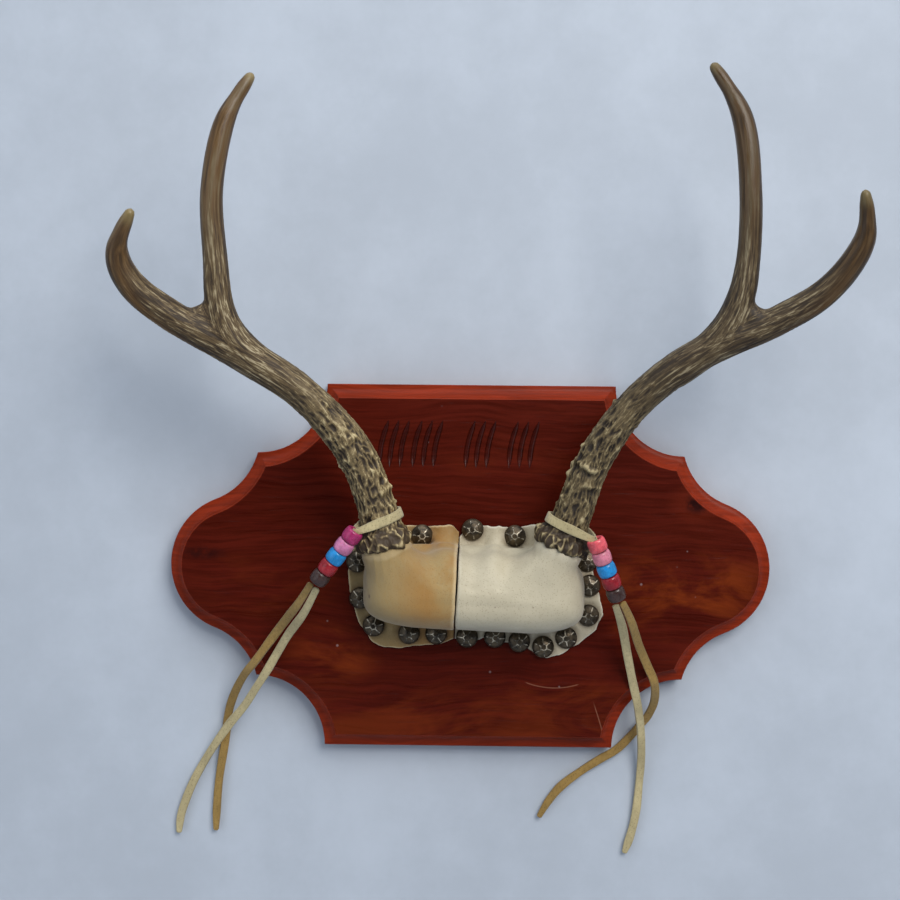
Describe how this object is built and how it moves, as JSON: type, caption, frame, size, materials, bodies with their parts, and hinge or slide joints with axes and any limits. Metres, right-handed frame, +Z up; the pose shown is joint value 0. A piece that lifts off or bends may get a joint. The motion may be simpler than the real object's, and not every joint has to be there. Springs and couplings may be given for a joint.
{
  "type": "antler mounting plaque",
  "caption": "Shaped wooden wall plaque with a routed edge, holding a small forked pair of deer antlers in tacked leather, with beaded laces.",
  "frame": {"origin": "centre of the board's flat back face, where the plaque meets the wall", "axes": "+Z up the wall, +X to the right for someone who looks at the front, the front faces -Y"},
  "size_m": [0.3459, 0.0999, 0.388],
  "materials": {
    "mahogany": "satin varnish over a dark red stain",
    "antler": "rough bone-like antler, smooth at the tips",
    "tan_suede": "matte suede",
    "cream_leather": "matte, finely wrinkled",
    "dark_bronze": "dark bronzed, faceted",
    "lace_pale": "matte",
    "lace_gold": "matte",
    "bead_magenta": "glossy",
    "bead_pink": "glossy",
    "bead_blue": "glossy",
    "bead_red": "glossy",
    "bead_brown": "glossy",
    "bead_coral": "glossy",
    "bead_rose": "glossy"
  },
  "bodies": {
    "root": {"board": "mahogany", "antler_left": "antler", "antler_right": "antler", "cover_tan": "tan_suede", "cover_cream": "cream_leather", "tack_01": "dark_bronze", "tack_02": "dark_bronze", "tack_03": "dark_bronze", "tack_04": "dark_bronze", "tack_05": "dark_bronze", "tack_06": "dark_bronze", "tack_07": "dark_bronze", "tack_08": "dark_bronze", "tack_09": "dark_bronze", "tack_10": "dark_bronze", "tack_11": "dark_bronze", "tack_12": "dark_bronze", "tack_13": "dark_bronze", "tack_14": "dark_bronze", "tack_15": "dark_bronze", "tack_16": "dark_bronze", "lace_left": "lace_pale", "lace_right": "lace_pale", "bead_left_1": "bead_magenta", "bead_left_2": "bead_pink", "bead_left_3": "bead_blue", "bead_left_4": "bead_red", "bead_left_5": "bead_brown", "bead_right_1": "bead_coral", "bead_right_2": "bead_rose", "bead_right_3": "bead_blue", "bead_right_4": "bead_red", "bead_right_5": "bead_brown", "tail_left_front": "lace_pale", "tail_left_back": "lace_gold", "tail_right_front": "lace_pale", "tail_right_back": "lace_gold"}
  },
  "joints": []
}
